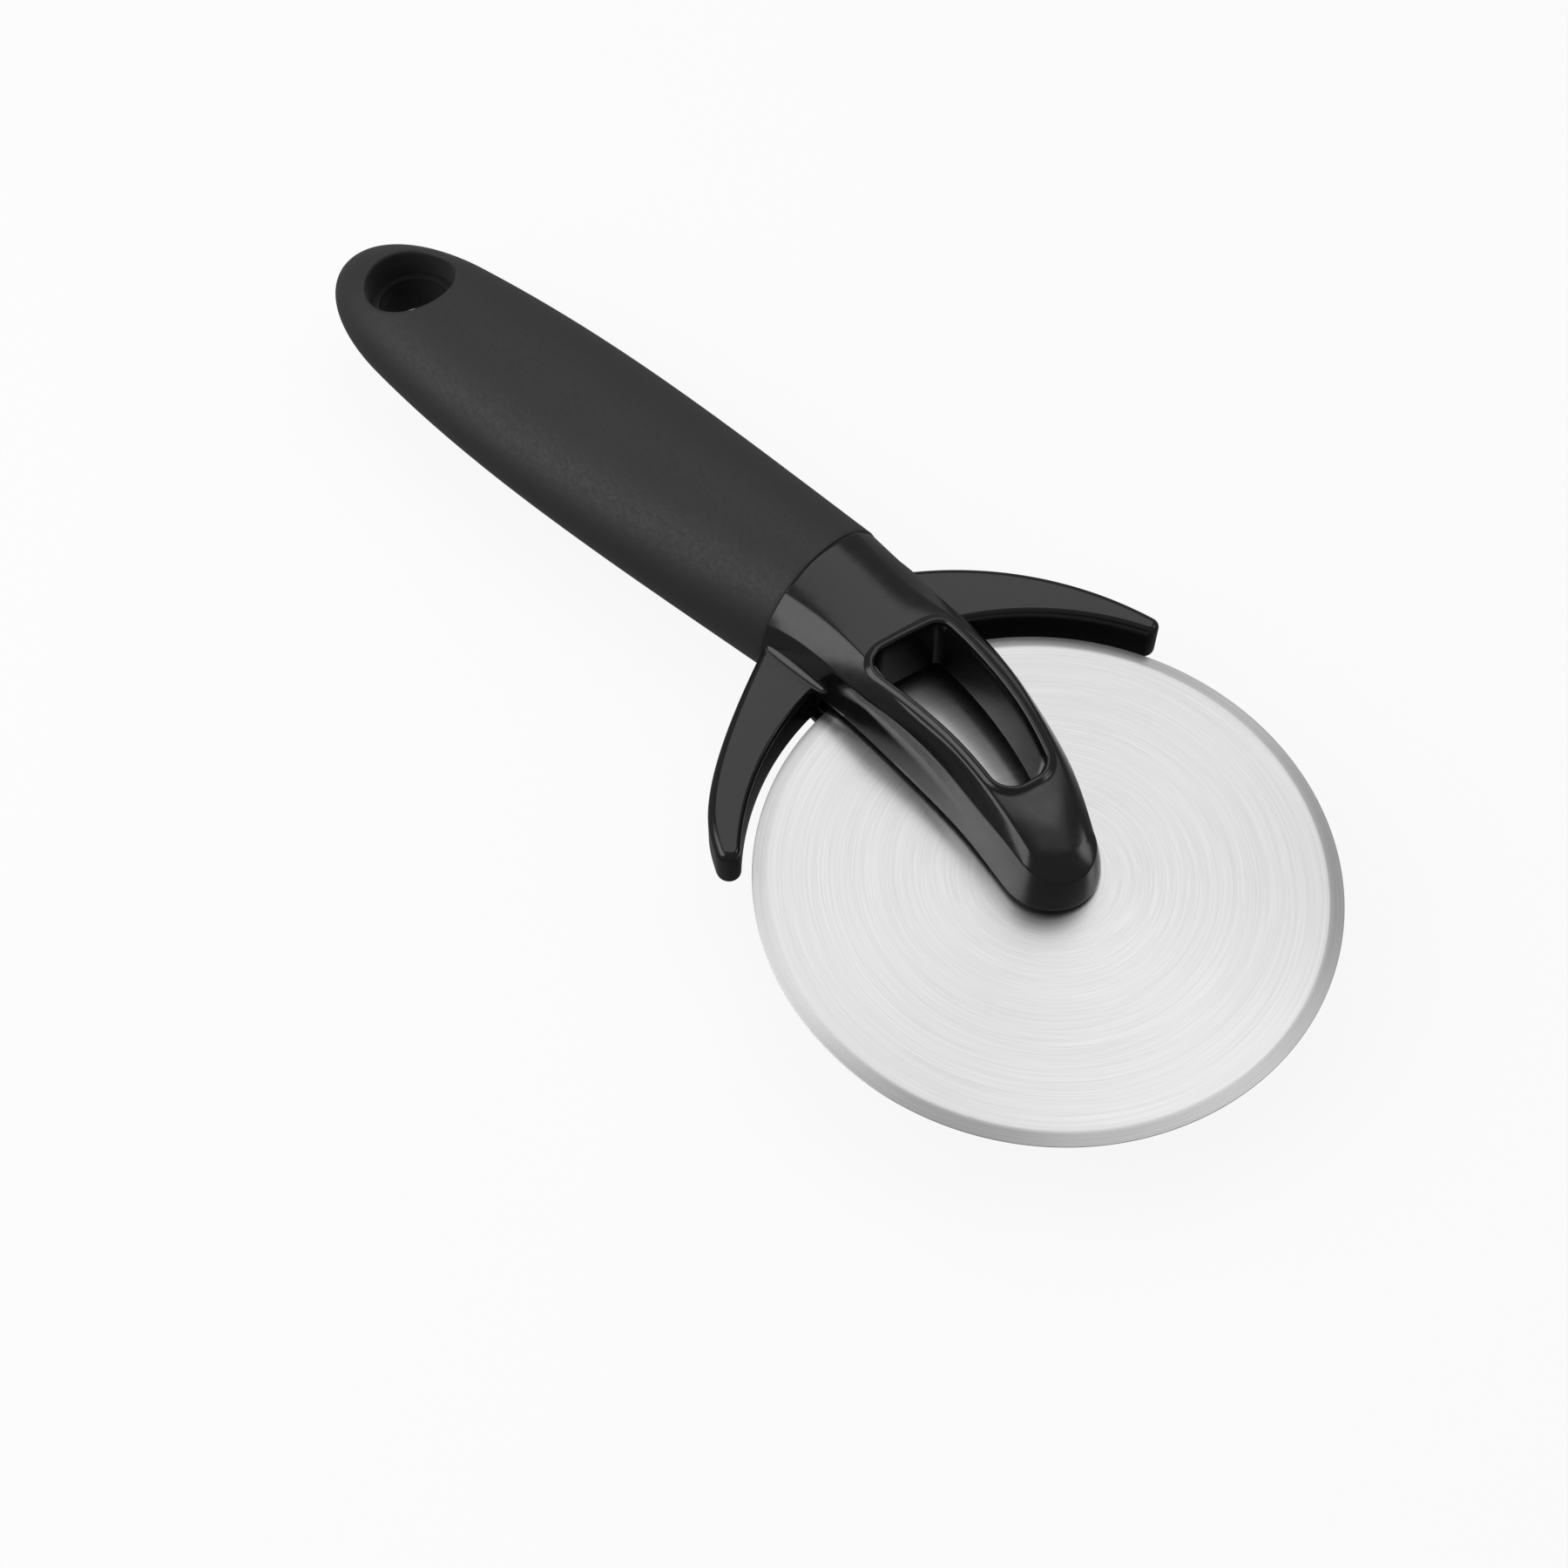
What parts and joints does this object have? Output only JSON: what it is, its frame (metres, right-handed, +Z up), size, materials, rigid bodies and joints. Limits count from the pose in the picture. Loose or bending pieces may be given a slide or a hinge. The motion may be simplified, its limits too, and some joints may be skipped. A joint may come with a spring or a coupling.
{
  "type": "pizza cutter wheel",
  "caption": "Pizza cutter: a round steel blade turning between the two windowed arms of a guarded black fork, on a soft-grip handle with a hanging hole.",
  "frame": {"origin": "bottom centre of the tool's box when it lies flat, with the wheel level", "axes": "+X along the fork towards the wheel, +Z up along the wheel's axle"},
  "size_m": [0.2182, 0.09, 0.0289],
  "materials": {
    "black_abs": "glossy moulded",
    "cap_abs": "satin moulded",
    "soft_grip": "matte fine grain",
    "core_pp": "satin moulded",
    "acetal": "machined",
    "blade_steel": "turned with a ground edge",
    "stainless": "bright",
    "zinc_steel": "zinc plated",
    "insert_brass": "turned"
  },
  "bodies": {
    "frame": {"fork_upper": "black_abs", "fork_lower": "black_abs", "fork_screws": "zinc_steel", "axle_sleeve": "stainless", "axle_screw": "zinc_steel", "axle_insert": "insert_brass", "axle_cap": "cap_abs", "thrust_washer_upper": "stainless", "thrust_washer_lower": "stainless", "handle_core": "core_pp", "soft_grip": "soft_grip", "tang_pin": "zinc_steel"},
    "wheel": {"blade_wheel": "blade_steel", "hub_bush": "acetal"}
  },
  "joints": [
    {"name": "wheel_spin", "type": "hinge", "parent": "frame", "child": "wheel", "pos_m": [0.0641, 0, 0.01445], "axis": [0, 0, 1], "continuous": true}
  ]
}
